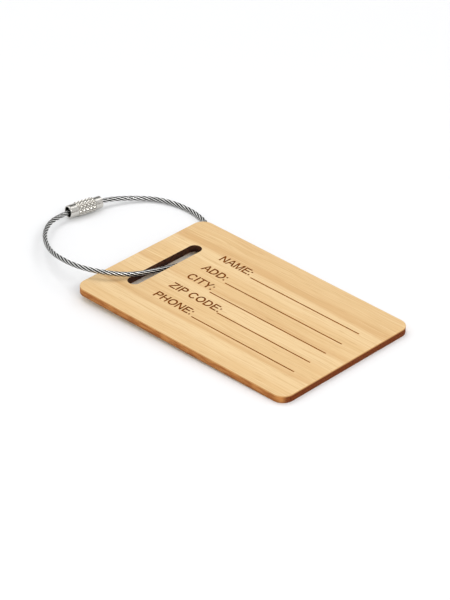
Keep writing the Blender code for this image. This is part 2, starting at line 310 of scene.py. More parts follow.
# ---------------------------------------------------------------- camera
camera = link(bpy.data.objects.new("camera", bpy.data.cameras.new("camera")))
camera.data.sensor_width = SENSOR_WIDTH
camera.data.lens = LENS
camera.data.clip_start = CLIP_START
camera.data.clip_end = CLIP_END
camera.location = CAMERA_PLACE
camera.rotation_euler = CAMERA_LOOK.to_track_quat("-Z", "Y").to_euler()
bpy.context.scene.camera = camera


# ---------------------------------------------------------------- wire rope
def smooth_route(knots, count):
    """Evenly spaced points on the natural cubic curve through the knots, and its length."""
    knots = np.array(knots, dtype=float)
    spans = np.sqrt(np.linalg.norm(np.diff(knots, axis=0), axis=1))
    t = np.concatenate(([0.0], np.cumsum(spans)))
    n = len(knots)
    system = np.eye(n)
    right = np.zeros((n, 3))
    for i in range(1, n - 1):
        before, after = spans[i - 1], spans[i]
        system[i, i - 1 : i + 2] = (before, 2.0 * (before + after), after)
        right[i] = 6.0 * ((knots[i + 1] - knots[i]) / after - (knots[i] - knots[i - 1]) / before)
    bend = np.linalg.solve(system, right)
    samples_per_knot = 40
    fine = np.linspace(0.0, t[-1], samples_per_knot * n)
    index = np.clip(np.searchsorted(t, fine, side="right") - 1, 0, n - 2)
    h = spans[index][:, None]
    a = (t[index + 1] - fine)[:, None]
    b = (fine - t[index])[:, None]
    points = (
        (bend[index] * a**3 + bend[index + 1] * b**3) / (6.0 * h)
        + (knots[index] / h - bend[index] * h / 6.0) * a
        + (knots[index + 1] / h - bend[index + 1] * h / 6.0) * b
    )
    hops = np.linalg.norm(np.diff(points, axis=0), axis=1)
    travelled = np.concatenate(([0.0], np.cumsum(hops)))
    even = np.linspace(0.0, travelled[-1], count)
    path = np.stack([np.interp(even, travelled, points[:, k]) for k in range(3)], axis=1)
    return path, travelled[-1]


def on_barrel_axis(distance):
    return BARREL_MOUTH + BARREL_AXIS * distance


def unit(vectors):
    return vectors / np.linalg.norm(vectors, axis=-1, keepdims=True)


def carried_frames(points):
    """Tangent and two side directions at each point, carried along without twist."""
    tangents = unit(np.gradient(points, axis=0))
    side = np.cross(tangents[0], (0.0, 0.0, 1.0))
    sides = []
    for tangent in tangents:
        side = side - tangent * np.dot(side, tangent)
        side = side / np.linalg.norm(side)
        sides.append(side)
    sides = np.array(sides)
    return tangents, sides, np.cross(tangents, sides)


def tube(points, radius, ring):
    """Verts and faces of a closed round tube along the points."""
    _, side, up = carried_frames(points)
    angles = np.linspace(0.0, TURN, ring, endpoint=False)
    verts = (
        points[:, None]
        + radius * np.cos(angles)[None, :, None] * side[:, None]
        + radius * np.sin(angles)[None, :, None] * up[:, None]
    ).reshape(-1, 3)
    faces = []
    for i in range(len(points) - 1):
        for k in range(ring):
            n = (k + 1) % ring
            faces.append((i * ring + k, i * ring + n, (i + 1) * ring + n, (i + 1) * ring + k))
    faces.append(tuple(range(ring))[::-1])
    last = (len(points) - 1) * ring
    faces.append(tuple(last + k for k in range(ring)))
    return verts, faces


def rope_path(steps):
    start = [on_barrel_axis(d) for d in (THREAD_START + THREAD_LENGTH, STRAIGHT_IN_MOUTH)]
    route = [Vector(p) * MM for p in LOOP_ROUTE]
    end = [on_barrel_axis(d) for d in (BARREL_LENGTH + STRAIGHT_PAST_HOLE, STOP_START)]
    return smooth_route(start + route + end, steps)


def build_rope(name):
    """Six strands laid right-handed round a core; also the path they follow."""
    path, length = rope_path(ROPE_STEPS)
    _, side, up = carried_frames(path)
    travelled = np.linspace(0.0, length, len(path))
    verts, faces, crest, turns = [], [], [], []
    ring = STRAND_RING
    for strand in range(STRANDS + 1):
        if strand == STRANDS:
            middle = path[::CORE_STRIDE]
            line = middle
        else:
            middle = path
            turn = TURN * (travelled / ROPE_LAY + strand / STRANDS)
            outwards = np.cos(turn)[:, None] * side + np.sin(turn)[:, None] * up
            line = path + HELIX_RADIUS * outwards
        some_verts, some_faces = tube(line, STRAND_RADIUS, ring)
        offset = sum(len(v) for v in verts)
        verts.append(some_verts)
        crest.append(np.linalg.norm(some_verts - np.repeat(middle, ring, axis=0), axis=1))
        faces += [tuple(i + offset for i in f) for f in some_faces]
        # The fine wires turn about each strand; their phase runs on without a jump
        last = len(line) - 1
        for i in range(last):
            for k in range(ring):
                for column, at in ((k, i), (k + 1, i), (k + 1, i + 1), (k, i + 1)):
                    turns.append(FINE_WIRES * column / ring + at * length / last / FINE_LAY)
        turns += [0.0] * (2 * ring)
    obj = mesh_object(name, np.concatenate(verts), faces, 60.0)
    reach = np.concatenate(crest) / (0.5 * WIRE_DIAMETER)
    height = obj.data.attributes.new("crest", "FLOAT", "POINT")
    height.data.foreach_set("value", reach.astype(np.float32))
    phase = obj.data.attributes.new("fine_wires", "FLOAT", "CORNER")
    phase.data.foreach_set("value", np.array(turns, dtype=np.float32))
    return obj, path


rope, rope_line = build_rope("loop_rope")


# ---------------------------------------------------------------- turned metal pieces
def barrel_matrix():
    """The frame of the turned pieces: Z runs from the mouth to the hole end."""
    facing = BARREL_AXIS.to_track_quat("Z", "Y").to_matrix().to_4x4()
    return Matrix.Translation(BARREL_MOUTH) @ facing


def lathe(name, rows, columns, smooth_angle=35.0):
    """A closed skin whose rows are functions of angle: each gives (radius, height) arrays."""
    angles = np.linspace(0.0, TURN, columns, endpoint=False)
    verts = []
    for row in rows:
        radius, height = row(angles)
        radius = np.broadcast_to(radius, angles.shape)
        height = np.broadcast_to(height, angles.shape)
        verts.append(np.stack([radius * np.cos(angles), radius * np.sin(angles), height], axis=1))
    count = len(rows)
    faces = []
    for r in range(count):
        low, high = r * columns, (r + 1) % count * columns
        for k in range(columns):
            n = (k + 1) % columns
            faces.append((low + k, low + n, high + n, high + k))
    obj = mesh_object(name, np.concatenate(verts), faces, smooth_angle)
    reach = obj.data.attributes.new("reach", "FLOAT", "POINT")
    across = np.linalg.norm(np.concatenate(verts)[:, :2], axis=1) / MM
    reach.data.foreach_set("value", across.astype(np.float32))
    obj.matrix_world = barrel_matrix()
    return obj


def plain(radius, height):
    return lambda angles: (radius, height)


def rounded_corner(inner_radius, outer_radius, z_flat, z_wall, steps=4):
    """Rows that round a rim from its flat end to its outer wall."""
    rows = []
    for i in range(steps + 1):
        a = QUARTER * i / steps
        rows.append(
            plain(
                inner_radius + (outer_radius - inner_radius) * math.sin(a),
                z_wall + (z_flat - z_wall) * math.cos(a),
            )
        )
    return rows


def zigzag(x):
    """0 at whole numbers, 1 halfway between them."""
    return 1.0 - np.abs(2.0 * (x - np.floor(x)) - 1.0)


def knurl_row(height):
    """One ring of the diamond knurl: two crossing sets of slanting grooves."""

    def row(angles):
        around = angles * KNURL_TEETH / TURN
        along = (height - KNURL_START) / KNURL_PITCH
        diamond = np.minimum(zigzag(around + along), zigzag(around - along))
        from_end = min(height - KNURL_START, KNURL_END - height)
        fade = max(0.0, min(1.0, from_end / KNURL_FADE))
        top = np.minimum(1.0, KNURL_CREST * diamond)
        outer = MOUTH_END_RADIUS + (KNURL_RADIUS - MOUTH_END_RADIUS) * fade
        return outer - KNURL_DEPTH * fade * (1.0 - top), height

    return row


def thread_ridge(height, angles):
    """0 at the thread's root, 1 at its crest."""
    return zigzag(height / THREAD_PITCH - angles / TURN)


def bore_row(height):
    """One ring of the barrel's threaded bore."""
    return lambda angles: (BORE_RADIUS - BORE_RIDGE * thread_ridge(height, angles), height)


def build_barrel(name):
    top, e, half = BARREL_LENGTH, RIM_ROUND, 0.5 * RIM_ROUND
    # Up the outside from the mouth
    rows = rounded_corner(MOUTH_END_RADIUS - e, MOUTH_END_RADIUS, 0.0, e)
    rows += [plain(MOUTH_END_RADIUS, z * MM) for z in (0.6, 1.2, 1.8, 2.6)]
    rows += [knurl_row(z) for z in np.linspace(KNURL_START, KNURL_END, KNURL_RINGS)]
    rows += [plain(HOLE_END_RADIUS, z * MM) for z in (9.55, 10.2, 10.9, 11.6)]
    rows += rounded_corner(HOLE_END_RADIUS - e, HOLE_END_RADIUS, top, top - e)[::-1]
    # Through the end wall and back down the threaded bore
    rows += rounded_corner(HOLE_RADIUS + half, HOLE_RADIUS, top, top - half)
    rows += [plain(radius, top - END_WALL) for radius in (HOLE_RADIUS, BORE_RADIUS)]
    rows.append(plain(BORE_RADIUS, 6.6 * MM))
    rows += [bore_row(z) for z in np.linspace(6.4 * MM, 0.5 * MM, BORE_RIDGE_RINGS)]
    rows += [plain(BORE_RADIUS, z * MM) for z in (0.35, 0.12)]
    rows.append(plain(BORE_RADIUS + 0.1 * MM, 0.0))
    return lathe(name, rows, COLUMNS_PER_TOOTH * KNURL_TEETH)


def build_thread_ferrule(name):
    low, high = THREAD_START, THREAD_START + THREAD_LENGTH
    root = FERRULE_RADIUS - THREAD_DEPTH

    def thread_row(height):
        fade = max(0.0, min(1.0, (height - low) / THREAD_FADE, (high - height) / THREAD_FADE))
        return lambda angles: (root + THREAD_DEPTH * thread_ridge(height, angles) * fade, height)

    rows = [plain(root - THREAD_CHAMFER, low)]
    rows += [thread_row(z) for z in np.linspace(low + 0.08 * MM, high - 0.08 * MM, THREAD_RINGS)]
    rows.append(plain(root - THREAD_CHAMFER, high))
    rows += [plain(FERRULE_BORE, high), plain(FERRULE_BORE, low)]
    return lathe(name, rows, THREAD_COLUMNS)


def build_stop_ferrule(name):
    low, high = STOP_START, STOP_START + STOP_LENGTH
    e = STOP_ROUND

    def crimp_row(height):
        """Narrowed by the crimping jaws, most of all halfway along."""
        depth = CRIMP_DEPTH * math.exp(-(((height - 0.5 * (low + high)) / CRIMP_SPREAD) ** 2))

        def row(angles):
            dent = np.maximum(0.0, np.cos(CRIMP_DENTS * angles)) ** 2
            return FERRULE_RADIUS - depth * dent, height

        return row

    rows = rounded_corner(FERRULE_RADIUS - e, FERRULE_RADIUS, low, low + e)
    rows += [crimp_row(z) for z in np.linspace(low + 1.3 * e, high - 1.3 * e, STOP_RINGS)]
    rows += rounded_corner(FERRULE_RADIUS - e, FERRULE_RADIUS, high, high - e)[::-1]
    rows += [plain(FERRULE_BORE, high), plain(FERRULE_BORE, low)]
    return lathe(name, rows, STOP_COLUMNS)


barrel = build_barrel("clasp_barrel")
thread_ferrule = build_thread_ferrule("clasp_thread_ferrule")
stop_ferrule = build_stop_ferrule("clasp_stop_ferrule")


# ---------------------------------------------------------------- bamboo card
def card_matrix():
    """From the card's own lengths (along, across, up from its back) to the row frame."""
    far_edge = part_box("bamboo_card")[1].x - CARD_THICKNESS * math.sin(CARD_TILT)
    return (
        Matrix.Translation((far_edge, 0.0, 0.0))
        @ Matrix.Rotation(CARD_TILT, 4, "Y")
        @ Matrix.Translation((-CARD_LENGTH, -0.5 * CARD_WIDTH, 0.0))
    )


def arc(centre_x, centre_y, radius, start, sweep, steps):
    angles = [start + sweep * i / steps for i in range(steps + 1)]
    return [(centre_x + radius * math.cos(a), centre_y + radius * math.sin(a)) for a in angles]


def card_outline(inset):
    """The card's edge, moved inwards by inset."""
    radius = CARD_CORNER_RADIUS - inset
    x0, y0, x1, y1 = inset, inset, CARD_LENGTH - inset, CARD_WIDTH - inset
    return (
        arc(x1 - radius, y1 - radius, radius, 0.0, QUARTER, CORNER_STEPS)
        + arc(x0 + radius, y1 - radius, radius, QUARTER, QUARTER, CORNER_STEPS)
        + arc(x0 + radius, y0 + radius, radius, 2.0 * QUARTER, QUARTER, CORNER_STEPS)
        + arc(x1 - radius, y0 + radius, radius, 3.0 * QUARTER, QUARTER, CORNER_STEPS)
    )


def slot_outline(inset):
    """The slot's edge, moved into the card by inset."""
    radius = 0.5 * SLOT_WIDTH + inset
    reach = 0.5 * (SLOT_LENGTH - SLOT_WIDTH)
    middle = 0.5 * CARD_WIDTH
    return arc(SLOT_FROM_END, middle + reach, radius, 0.0, math.pi, SLOT_END_STEPS) + arc(
        SLOT_FROM_END, middle - reach, radius, math.pi, math.pi, SLOT_END_STEPS
    )


def plate_levels():
    """(inset, height) of each ring, from the back face round the edge to the top face."""
    levels = []
    for i in range(EDGE_STEPS + 1):
        a = QUARTER * i / EDGE_STEPS
        levels.append((EDGE_ROUND * (1.0 - math.sin(a)), EDGE_ROUND * (1.0 - math.cos(a))))
    return levels + [(inset, CARD_THICKNESS - height) for inset, height in reversed(levels)]


def build_plate(name):
    """The card without its engraving."""
    shape = bmesh.new()
    loops = []
    for outline in (card_outline, slot_outline):
        rings = [
            [shape.verts.new((x, y, height)) for x, y in outline(inset)]
            for inset, height in plate_levels()
        ]
        for lower, upper in zip(rings, rings[1:]):
            for k in range(len(lower)):
                n = (k + 1) % len(lower)
                shape.faces.new((lower[k], lower[n], upper[n], upper[k]))
        loops.append((rings[0], rings[-1]))
    for level in zip(*loops):
        edges = []
        for ring in level:
            for k in range(len(ring)):
                edges.append(shape.edges.get((ring[k], ring[(k + 1) % len(ring)])))
        bmesh.ops.triangle_fill(shape, use_beauty=True, edges=edges)
    bmesh.ops.recalc_face_normals(shape, faces=shape.faces)
    mesh = bpy.data.meshes.new(name)
    shape.to_mesh(mesh)
    shape.free()
    return link(bpy.data.objects.new(name, mesh))


# The alphabet's own units
CAPITAL = 716
STEM = 98
BAR = 88
BOW_STEPS = 20
RING_STEPS = 23
# Keeps a widened sharp corner from running far past its letter
SHARPEST_MITRE = 0.8


def bow(cx, cy, rx, ry, start, end, steps):
    """Points on an ellipse from one angle to another, in degrees."""
    return [
        (cx + rx * math.cos(math.radians(a)), cy + ry * math.sin(math.radians(a)))
        for a in np.linspace(start, end, steps + 1)
    ]


def block(x0, y0, x1, y1):
    return [(x0, y0), (x1, y0), (x1, y1), (x0, y1)]


def plain_letters():
    """Outlines of the capitals used, 716 units high, each with the step to the next letter."""
    h, s, b = CAPITAL, STEM, BAR
    mid = 0.5 * h
    return {
        "A": (667, [
            [(0, 0), (103, 0), (180, 214), (488, 214), (569, 0), (672, 0), (386, h), (284, h)],
            [(208, 294), (460, 294), (334, 626)],
        ]),
        "C": (722, [
            bow(380, mid, 330, 370, 37, 323, BOW_STEPS)
            + bow(380, mid, 330 - s, 370 - b, 323, 37, BOW_STEPS),
        ]),
        "D": (722, [
            [(77, 0)] + bow(330, mid, 341, mid, -90, 90, BOW_STEPS) + [(77, h)],
            [(77 + s, b)] + bow(322, mid, 349 - s, mid - b, -90, 90, BOW_STEPS)
            + [(77 + s, h - b)],
        ]),
        "E": (667, [
            [(79, 0), (618, 0), (618, b), (79 + s, b), (79 + s, 328), (576, 328), (576, 328 + b),
             (79 + s, 328 + b), (79 + s, h - b), (600, h - b), (600, h), (79, h)],
        ]),
        "H": (722, [
            [(80, 0), (80 + s, 0), (80 + s, 328), (642 - s, 328), (642 - s, 0), (642, 0), (642, h),
             (642 - s, h), (642 - s, 328 + b), (80 + s, 328 + b), (80 + s, h), (80, h)],
        ]),
        "I": (278, [block(92, 0, 92 + s, h)]),
        "M": (833, [
            [(74, 0), (167, 0), (167, 590), (371, 0), (463, 0), (668, 590), (668, 0), (761, 0),
             (761, h), (629, h), (417, 122), (206, h), (74, h)],
        ]),
        "N": (722, [
            [(76, 0), (171, 0), (171, 560), (541, 0), (643, 0), (643, h), (548, h), (548, 156),
             (178, h), (76, h)],
        ]),
        "O": (778, [
            bow(389, mid, 342, 370, 0, 345, RING_STEPS),
            bow(389, mid, 342 - s, 370 - b, 0, 345, RING_STEPS),
        ]),
        "P": (667, [
            [(77, 0), (77 + s, 0), (77 + s, 288)]
            + bow(398, 502, 229, 214, -90, 90, BOW_STEPS) + [(77, h)],
            [(77 + s, 288 + b)] + bow(390, 502, 236 - s, 214 - b, -90, 90, BOW_STEPS)
            + [(77 + s, h - b)],
        ]),
        "T": (650, [
            [(258, 0), (258 + s, 0), (258 + s, h - b), (592, h - b), (592, h), (22, h),
             (22, h - b), (258, h - b)],
        ]),
        "Y": (667, [
            [(281, 0), (281 + s, 0), (281 + s, 303), (640, h), (526, h), (332, 396), (136, h),
             (20, h), (281, 303)],
        ]),
        "Z": (611, [
            [(22, 0), (588, 0), (588, b), (142, b), (578, h - 90), (578, h), (52, h), (52, h - b),
             (452, h - b), (22, 92)],
        ]),
        ":": (278, [block(88, 0, 88 + s, 102), block(88, 417, 88 + s, 519)]),
        " ": (278, []),
    }


def is_hole(outline, first):
    """Whether an outline lies inside its letter's first outline."""
    x, y = outline[0]
    return outline is not first and (
        min(p[0] for p in first) < x < max(p[0] for p in first)
        and min(p[1] for p in first) < y < max(p[1] for p in first)
    )


def spread(outline, by, hole):
    """The outline moved outwards by a distance, or inwards where it is a hole."""
    area = sum(
        a[0] * b[1] - b[0] * a[1] for a, b in zip(outline, outline[1:] + outline[:1])
    )
    points = outline if (area > 0.0) != hole else outline[::-1]
    moved = []
    for before, here, after in zip(points[-1:] + points[:-1], points, points[1:] + points[:1]):
        first = Vector((here[1] - before[1], before[0] - here[0])).normalized()
        second = Vector((after[1] - here[1], here[0] - after[0])).normalized()
        corner = (first + second).normalized()
        reach = by / max(SHARPEST_MITRE, corner.dot(first))
        moved.append((here[0] + corner.x * reach, here[1] + corner.y * reach))
    return moved


def label_outlines(label, foot, weight):
    """The label's outlines on the card, with strokes made wider by weight on each side."""
    letters = plain_letters()
    unit = CAP_HEIGHT / CAPITAL
    outlines = []
    pen = 0.0
    for letter in label:
        step, shapes = letters[letter]
        for shape in shapes:
            wide = spread(shape, weight / unit, is_hole(shape, shapes[0]))
            outlines.append([(TEXT_START + (pen + x) * unit, foot + y * unit) for x, y in wide])
        pen += step
    return outlines


def label_mesh(outlines, depth):
    """Closed outlines as a flat solid that reaches a depth below the top face."""
    curve = bpy.data.curves.new("label", "CURVE")
    curve.dimensions = "2D"
    curve.fill_mode = "BOTH"
    curve.extrude = depth
    for outline in outlines:
        spline = curve.splines.new("POLY")
        spline.points.add(len(outline) - 1)
        for point, (x, y) in zip(spline.points, outline):
            point.co = (x, y, 0.0, 1.0)
        spline.use_cyclic_u = True
    obj = link(bpy.data.objects.new("label", curve))
    obj.location.z = CARD_THICKNESS
    bpy.context.view_layer.update()
    evaluated = obj.evaluated_get(bpy.context.evaluated_depsgraph_get())
    mesh = bpy.data.meshes.new_from_object(evaluated)
    mesh.transform(obj.matrix_world)
    bpy.data.objects.remove(obj)
    return mesh


def engraving_cutter(depth, wider, seed):
    """The labels and lines, each stroke made wider on both sides."""
    shape = bmesh.new()
    for label, foot, line_start, line_height in FIELDS:
        shape.from_mesh(label_mesh(label_outlines(label, foot, STROKE_WEIGHT + wider), depth))
        length = LINE_END - line_start
        middle = Vector((line_start + 0.5 * length, line_height, CARD_THICKNESS))
        size = Matrix.Diagonal((length + 2.0 * wider, LINE_WIDTH + 2.0 * wider, 2.0 * depth, 1.0))
        bmesh.ops.create_cube(shape, size=1.0, matrix=Matrix.Translation(middle) @ size)
    bmesh.ops.remove_doubles(shape, verts=shape.verts, dist=0.5 * WANDER)
    bmesh.ops.dissolve_limit(
        shape, angle_limit=math.radians(0.5), verts=shape.verts, edges=shape.edges
    )
    wander = np.random.default_rng(seed).uniform(-WANDER, WANDER, (len(shape.verts), 2))
    for vert, (dx, dy) in zip(shape.verts, wander):
        vert.co.x += dx
        vert.co.y += dy
    mesh = bpy.data.meshes.new("engraving_cutter")
    shape.to_mesh(mesh)
    shape.free()
    return link(bpy.data.objects.new("engraving_cutter", mesh))


FACE, SIDE, SLOT, BURNT, SCORCHED, LINED = range(6)


def surface_of(centre, normal):
    """Which of the card's surfaces a face belongs to."""
    x, y, z = centre
    off_middle = abs(y - 0.5 * CARD_WIDTH)
    in_text = TEXT_START - MM < x < LINE_END + MM and off_middle < TEXT_HALF_SPAN
    if in_text and 0.5 * CARD_THICKNESS < z < CARD_THICKNESS - 0.004 * MM:
        if z > CARD_THICKNESS - 1.5 * SCORCH_DEPTH:
            return SCORCHED
        on_line = any(
            x > line_start - 0.1 * MM and abs(y - line_height) < 0.6 * LINE_WIDTH
            for _, _, line_start, line_height in FIELDS
        )
        return LINED if on_line else BURNT
    if abs(normal.z) > 0.8:
        return FACE
    reach = 0.5 * (SLOT_LENGTH - SLOT_WIDTH)
    along = max(0.0, off_middle - reach)
    if math.hypot(x - SLOT_FROM_END, along) < 0.5 * SLOT_WIDTH + 2.0 * EDGE_ROUND:
        return SLOT
    return SIDE


def is_closed(mesh):
    """Whether every edge of a mesh has just two faces, and the mesh is the whole card."""
    shape = bmesh.new()
    shape.from_mesh(mesh)
    closed = all(len(edge.link_faces) == 2 for edge in shape.edges)
    whole = shape.calc_volume() > 0.8 * CARD_LENGTH * CARD_WIDTH * CARD_THICKNESS
    shape.free()
    return closed and whole


def build_card(name):
    """The plate with its engraving cut in: a thin scorched step, then the strokes themselves."""
    plate = build_plate(name)
    for seed in WANDER_SEEDS:
        cutters = [
            engraving_cutter(SCORCH_DEPTH, SCORCH_REACH, seed),
            engraving_cutter(ENGRAVE_DEPTH, 0.0, seed + SECOND_CUT_SEED),
        ]
        for cutter in cutters:
            cut = plate.modifiers.new("engraving", "BOOLEAN")
            cut.operation = "DIFFERENCE"
            cut.solver = "EXACT"
            cut.object = cutter
        bpy.context.view_layer.update()
        evaluated = plate.evaluated_get(bpy.context.evaluated_depsgraph_get())
        mesh = bpy.data.meshes.new_from_object(evaluated)
        plate.modifiers.clear()
        for cutter in cutters:
            bpy.data.objects.remove(cutter)
        if is_closed(mesh):
            break
        print("engraving: wander", seed, "left the card open")
    plate.data = mesh
    mesh.name = name
    return plate


card = build_card("tag_card")
finish_shading(card.data, 32.0)
card.matrix_world = card_matrix()
for polygon in card.data.polygons:
    polygon.material_index = surface_of(polygon.center, polygon.normal)


# ---------------------------------------------------------------- materials
LIGHT = (0.80, 0.575, 0.305)
MIDDLE = (0.745, 0.505, 0.245)
DEEP = (0.68, 0.425, 0.19)
FIBRE_BROWN = (0.57, 0.33, 0.13)
THREAD_BROWN = (0.61, 0.385, 0.16)
THREAD_CREAM = (0.86, 0.665, 0.38)
DASH_BROWN = (0.52, 0.29, 0.11)
BURNT_LETTERS = ((0.33, 0.10, 0.010), (0.105, 0.024, 0.002))
BURNT_LINES = ((0.46, 0.175, 0.026), (0.26, 0.085, 0.010))
SCORCHED_BROWNS = ((0.56, 0.26, 0.065), (0.42, 0.155, 0.03))
# Charred slot walls, darkened further with painted shade inside the slot
CHAR_AND_SHADE_BROWNS = ((0.03, 0.009, 0.004), (0.085, 0.03, 0.013))
LONG_SIDE_BROWNS = ((0.37, 0.125, 0.03), (0.57, 0.25, 0.075))
END_SIDE_BROWNS = ((0.19, 0.044, 0.008), (0.10, 0.019, 0.004))
# Painted shade towards the foot of the cut edge
FOOT_SHADE_BROWN = (0.17, 0.055, 0.02)
# Painted highlight along the top rim of the cut edge
RIM_HIGHLIGHT_BROWN = (0.68, 0.41, 0.17)
NICKEL = ((0.66, 0.64, 0.60), (0.58, 0.56, 0.52))
# Painted shade in the knurl's grooves and painted highlight on its crests
KNURL_SHADE_AND_HIGHLIGHT = ((0.38, 0.36, 0.32), (0.72, 0.70, 0.655))
# Painted shade inside the bore and the hole
PAINTED_BORE_SHADE = (0.10, 0.095, 0.085)
ROPE_STEEL = ((0.93, 0.93, 0.91), (0.78, 0.775, 0.75))
# Painted shade between the fine wires of each strand
PAINTED_SHADE_BETWEEN_WIRES = (0.2, 0.195, 0.185)
# Painted shade in the grooves between the strands
PAINTED_GROOVE_SHADE = (0.012, 0.012, 0.011)
BRASS = ((0.72, 0.55, 0.28), (0.6, 0.44, 0.2))
DULL_STEEL = ((0.55, 0.54, 0.52), (0.44, 0.43, 0.41))
# How often the polish mottles and the turning marks repeat in a millimetre
POLISH_CLOUD = (0.7, 0.7, 0.7)
TURNING_MARKS = (0.6, 0.6, 9.0)
TURNING_DEPTH = 0.004 * MM

STRIPS_WIDTH = 55.0
# Start of each strip across the card in millimetres, and its colour
STRIPS = (
    (0.0, MIDDLE),
    (3.6, MIDDLE),
    (5.6, LIGHT),
    (9.6, LIGHT),
    (10.6, DEEP),
    (12.4, MIDDLE),
    (18.6, MIDDLE),
    (21.0, LIGHT),
    (25.6, LIGHT),
    (27.0, DEEP),
    (29.4, MIDDLE),
    (35.8, MIDDLE),
    (38.2, LIGHT),
    (42.2, LIGHT),
    (43.6, DEEP),
    (46.2, DEEP),
    (47.4, MIDDLE),
    (55.0, MIDDLE),
)


def bamboo_colour(g):
    """Strip colours with streaks and fibres along the card, and the fibres' height."""
    along, across, _ = g.split(g.place())

    def wandering(scale, detail, by):
        """Across, moved to either side by a slow noise."""
        drift = g.math("SUBTRACT", g.noise(g.place(scale), detail=detail), 0.5)
        return g.math("ADD", across, g.math("MULTIPLY", drift, by))

    strips = g.ramp(
        g.math("DIVIDE", wandering((0.016, 0.09, 0.09), 2.0, 4.0), STRIPS_WIDTH),
        [(at / STRIPS_WIDTH, colour) for at, colour in STRIPS],
    )
    waved = g.add("CombineXYZ")
    g.put(along, waved.inputs["X"])
    g.put(wandering((0.06, 0.06, 0.06), 1.0, 1.6), waved.inputs["Y"])
    streaks = g.noise(g.stretch(waved, (0.028, 0.85, 0.85)), detail=3.0, roughness=0.6)
    colour = g.mix(g.between(streaks, 0.5, 0.78, 0.0, 0.75), strips, DEEP)
    colour = g.mix(g.between(streaks, 0.5, 0.24, 0.0, 0.55), colour, LIGHT)
    fibres = g.noise(g.stretch(waved, (0.07, 4.2, 4.2)), detail=2.0, roughness=0.55)
    colour = g.mix(g.between(fibres, 0.50, 0.74, 0.0, 0.5), colour, FIBRE_BROWN)
    threads = g.noise(g.stretch(waved, (0.03, 2.1, 2.1)), detail=2.0, roughness=0.7)
    colour = g.mix(g.between(threads, 0.54, 0.70, 0.0, 0.6), colour, THREAD_BROWN)
    colour = g.mix(g.between(threads, 0.44, 0.28, 0.0, 0.6), colour, THREAD_CREAM)
    dashes = g.noise(g.stretch(waved, (0.16, 3.1, 3.1)), detail=1.0)
    colour = g.mix(g.between(dashes, 0.64, 0.76, 0.0, 0.55), colour, DASH_BROWN)
    return colour, fibres


def make_face():
    """Sanded bamboo."""
    g = Graph("bamboo_face")
    colour, fibres = bamboo_colour(g)
    g.set(Base_Color=colour, Roughness=g.between(fibres, 0.3, 0.7, 0.5, 0.64))
    g.dull(0.35)
    g.bump(fibres, 0.03 * MM, 0.6)
    return g.material


def make_side():
    """The card's cut edge: scorched orange brown along the grain, darker across its ends, with
    painted shade towards its foot and a painted highlight along its top rim.
    """
    g = Graph("bamboo_edge")
    _, _, height = g.split(g.place())
    normal = g.add("TexCoord").outputs["Normal"]
    end_on = g.between(g.math("ABSOLUTE", g.split(normal)[0]), 0.55, 0.95)
    mottle = g.noise(g.place((0.22, 0.22, 1.1)), detail=3.0, roughness=0.6)
    long_side = g.mix(g.between(mottle, 0.35, 0.68), *LONG_SIDE_BROWNS)
    pores = g.noise(g.place((2.4, 2.4, 2.4)), detail=1.5)
    end_side = g.mix(g.between(pores, 0.42, 0.66), *END_SIDE_BROWNS)
    colour = g.mix(end_on, long_side, end_side)
    # Painted shade, darker towards the foot of the edge
    colour = g.mix(g.between(height, 1.2, 0.0, 0.0, 0.45), colour, FOOT_SHADE_BROWN)
    # Painted highlight, lighter towards the top rim
    colour = g.mix(g.between(height, 1.85, 2.3, 0.0, 0.75), colour, RIM_HIGHLIGHT_BROWN)
    g.set(Base_Color=colour, Roughness=g.between(mottle, 0.3, 0.7, 0.6, 0.8))
    g.dull(0.1)
    g.bump(pores, 0.04 * MM, 0.6)
    return g.material


def make_slot():
    """The slot's walls, charred by the laser and painted near black for the shade inside the slot.
    """
    g = Graph("bamboo_charred_shaded")
    char_mottle = g.noise(g.place((0.8, 0.8, 0.9)), detail=3.0)
    g.set(
        Base_Color=g.mix(g.between(char_mottle, 0.35, 0.7), *CHAR_AND_SHADE_BROWNS),
        Roughness=g.between(char_mottle, 0.3, 0.7, 0.6, 0.8),
    )
    g.dull(0.2)
    g.bump(char_mottle, 0.05 * MM, 0.6)
    return g.material


def make_burnt(name, pale, dark):
    """The floor and walls of the engraving, unevenly charred."""
    g = Graph(name)
    char = g.noise(g.place((1.6, 2.6, 2.6)), detail=3.0, roughness=0.65)
    colour = g.mix(g.between(char, 0.36, 0.66), pale, dark)
    g.set(Base_Color=colour, Roughness=g.between(char, 0.3, 0.7, 0.7, 0.85))
    g.dull(0.06)
    g.bump(char, 0.04 * MM, 0.7)
    return g.material


def make_barrel_nickel():
    """Polished nickel, with painted shade in the knurl's grooves and a painted highlight on its
    crests, and painted shade in the bore.
    """
    g = Graph("barrel_nickel")
    _, _, height = g.split(g.place())
    reach = g.add("Attribute", attribute_name="reach").outputs["Fac"]
    cloud = g.noise(g.place(POLISH_CLOUD), detail=3.0)
    turned = g.noise(g.place(TURNING_MARKS), detail=2.0)
    polished = g.mix(g.between(cloud, 0.35, 0.7), *NICKEL)
    # Painted shade in the knurl's grooves, painted highlight on its crests
    knurl_shading = g.mix(g.between(reach, 2.14, 2.31), *KNURL_SHADE_AND_HIGHLIGHT)
    knurled = g.math(
        "MULTIPLY", g.between(height, 2.75, 2.95), g.between(height, 9.45, 9.25)
    )
    outside = g.mix(knurled, polished, knurl_shading)
    # Painted shade inside the bore and hole, where the reach is small
    g.set(
        Base_Color=g.mix(g.between(reach, 1.66, 1.72), PAINTED_BORE_SHADE, outside),
        Roughness=g.between(turned, 0.3, 0.7, 0.14, 0.24),
        Metallic=1.0,
    )
    g.bump(turned, TURNING_DEPTH, 0.5)
    return g.material


